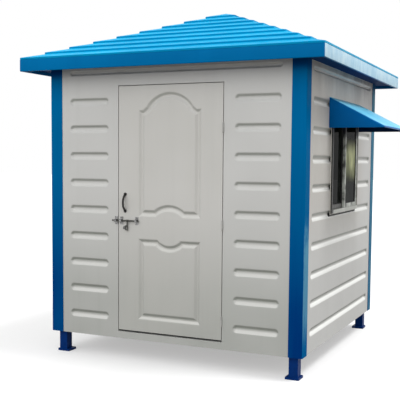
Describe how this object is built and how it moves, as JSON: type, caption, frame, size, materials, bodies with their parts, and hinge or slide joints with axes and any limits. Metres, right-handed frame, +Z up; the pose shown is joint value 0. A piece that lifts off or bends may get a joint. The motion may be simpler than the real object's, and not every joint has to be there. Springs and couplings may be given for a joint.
{
  "type": "portable cabin",
  "caption": "Square moulded cabin on short legs, with fluted white walls, blue posts, a stepped hip roof, an awning over its window and a panelled door that swings open.",
  "frame": {"origin": "on the ground, at the middle of the overall box in plan; the room's own middle lies 120.5 mm towards -X", "axes": "+Z up, -Y out of the door, +X out of the window and its awning"},
  "size_m": [2.721, 2.48, 2.824],
  "materials": {
    "blue_moulding": "gloss",
    "navy_moulding": "gloss",
    "white_panel": "satin",
    "blue_steel": "gloss",
    "dark_steel": "satin",
    "floor_board": "satin",
    "aluminium": "satin",
    "glass": "gloss",
    "zinc_steel": "satin",
    "black_metal": "satin"
  },
  "bodies": {
    "cabin": {"corner_legs": "blue_steel", "base_plates": "blue_steel", "base_rails": "dark_steel", "floor_joists": "dark_steel", "floor_panel": "floor_board", "corner_posts": "blue_moulding", "front_wall_left": "white_panel", "front_wall_right": "white_panel", "front_wall_head": "white_panel", "front_wall_sill": "white_panel", "right_wall_front": "white_panel", "right_wall_back": "white_panel", "right_wall_head": "white_panel", "right_wall_sill": "white_panel", "left_wall": "white_panel", "back_wall": "white_panel", "ceiling_panel": "white_panel", "soffit_front_back": "navy_moulding", "soffit_left_right": "navy_moulding", "fascia_front": "blue_moulding", "fascia_right": "blue_moulding", "fascia_back": "blue_moulding", "fascia_left": "blue_moulding", "roof_front": "blue_moulding", "roof_right": "blue_moulding", "roof_back": "blue_moulding", "roof_left": "blue_moulding", "awning_sheet": "blue_moulding", "awning_cheeks": "blue_moulding", "window_jambs": "aluminium", "window_head_sill": "aluminium", "window_sash_stiles": "aluminium", "window_sash_rails": "aluminium", "window_glass": "glass", "door_jambs": "white_panel", "door_head": "white_panel", "hinge_frame_leaves": "zinc_steel", "latch_staple": "zinc_steel"},
    "door": {"door_leaf": "white_panel", "hinge_door_leaves": "zinc_steel", "door_handle": "black_metal", "latch_guides": "zinc_steel"},
    "bolt": {"latch_bolt": "zinc_steel"}
  },
  "joints": [
    {"name": "door_hinge", "type": "hinge", "parent": "cabin", "child": "door", "pos_m": [0.3195, -1.0675, 1.189], "axis": [0, 0, 1], "range_deg": [0, 170]},
    {"name": "bolt_slide", "type": "slide", "parent": "door", "child": "bolt", "axis": [1, 0, 0], "range_m": [0, 0.046]}
  ]
}
